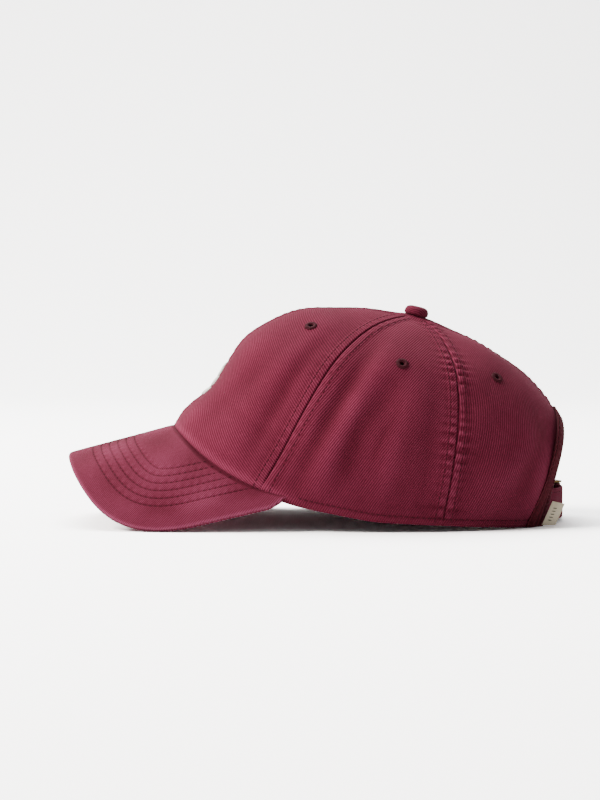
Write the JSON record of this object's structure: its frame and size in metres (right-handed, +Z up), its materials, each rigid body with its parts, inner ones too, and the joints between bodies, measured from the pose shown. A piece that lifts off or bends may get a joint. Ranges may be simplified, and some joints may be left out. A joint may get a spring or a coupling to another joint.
{
  "type": "bump cap",
  "caption": "Soft baseball-style cap with a curved brim, rear strap with clasp, and a removable rigid shell with foam pads inside.",
  "frame": {"origin": "on the surface that the cap stands on, under the middle of its box", "axes": "+Z up, -Y the way the brim points, +X the wearer's left"},
  "size_m": [0.1556, 0.2839, 0.1236],
  "materials": {
    "cotton_twill": "garment-washed cotton twill",
    "seam_tape": "woven bias tape",
    "sweatband_cotton": "plain cotton",
    "brim_board": "moulded polyethylene",
    "embroidery_thread": "satin-stitched polyester",
    "eyelet_thread": "buttonhole-stitched thread",
    "clasp_brass": "antique brass plate",
    "label_cloth": "damask-woven label",
    "button_steel": "pressed steel",
    "insert_abs": "injection-moulded ABS",
    "insert_foam": "closed-cell EVA foam",
    "hook_and_loop": "hook and loop tape"
  },
  "bodies": {
    "cap": {"arch_binding": "cotton_twill", "brim_board": "brim_board", "brim_lower_cover": "cotton_twill", "brim_upper_cover": "cotton_twill", "button_cover": "cotton_twill", "button_rivet": "button_steel", "button_shell": "button_steel", "care_label": "label_cloth", "clasp_frame": "clasp_brass", "clasp_pin": "clasp_brass", "eyelet_front_left": "eyelet_thread", "eyelet_front_right": "eyelet_thread", "eyelet_rear_left": "eyelet_thread", "eyelet_rear_right": "eyelet_thread", "eyelet_side_left": "eyelet_thread", "eyelet_side_right": "eyelet_thread", "front_motif": "embroidery_thread", "loop_patch_left": "hook_and_loop", "loop_patch_right": "hook_and_loop", "panel_front_left": "cotton_twill", "panel_front_right": "cotton_twill", "panel_rear_left": "cotton_twill", "panel_rear_right": "cotton_twill", "panel_side_left": "cotton_twill", "panel_side_right": "cotton_twill", "seam_tape_front": "seam_tape", "seam_tape_front_left": "seam_tape", "seam_tape_front_right": "seam_tape", "seam_tape_rear": "seam_tape", "seam_tape_rear_left": "seam_tape", "seam_tape_rear_right": "seam_tape", "strap": "cotton_twill", "strap_tab": "cotton_twill", "sweatband": "sweatband_cotton"},
    "insert": {"insert_pad_crown": "insert_foam", "insert_pad_front": "insert_foam", "insert_pad_left": "insert_foam", "insert_pad_rear": "insert_foam", "insert_pad_right": "insert_foam", "insert_shell": "insert_abs", "insert_tab_left": "hook_and_loop", "insert_tab_right": "hook_and_loop"},
    "clasp_flap": {"clasp_flap": "clasp_brass"},
    "strap_tail": {"strap_tail": "cotton_twill"},
    "flag_label": {"flag_label": "label_cloth"}
  },
  "joints": [
    {"name": "insert_slide", "type": "slide", "parent": "cap", "child": "insert", "axis": [0, -0.2334, -0.9724], "range_m": [0, 0.11]},
    {"name": "clasp_flap_hinge", "type": "hinge", "parent": "cap", "child": "clasp_flap", "pos_m": [-0.0253, 0.13534, 0.011], "axis": [0, 0, 1], "range_deg": [0, 100]},
    {"name": "strap_adjust", "type": "hinge", "parent": "cap", "child": "strap_tail", "pos_m": [0, 0.0898, 0.011], "axis": [0, 0, 1], "range_deg": [-2, 12]},
    {"name": "label_flap", "type": "hinge", "parent": "cap", "child": "flag_label", "pos_m": [0.04575, 0.1219, 0.0012], "axis": [0, 0.286, 0.9582], "range_deg": [-30, 30], "stiffness_Nm_per_rad": 0.0004}
  ]
}
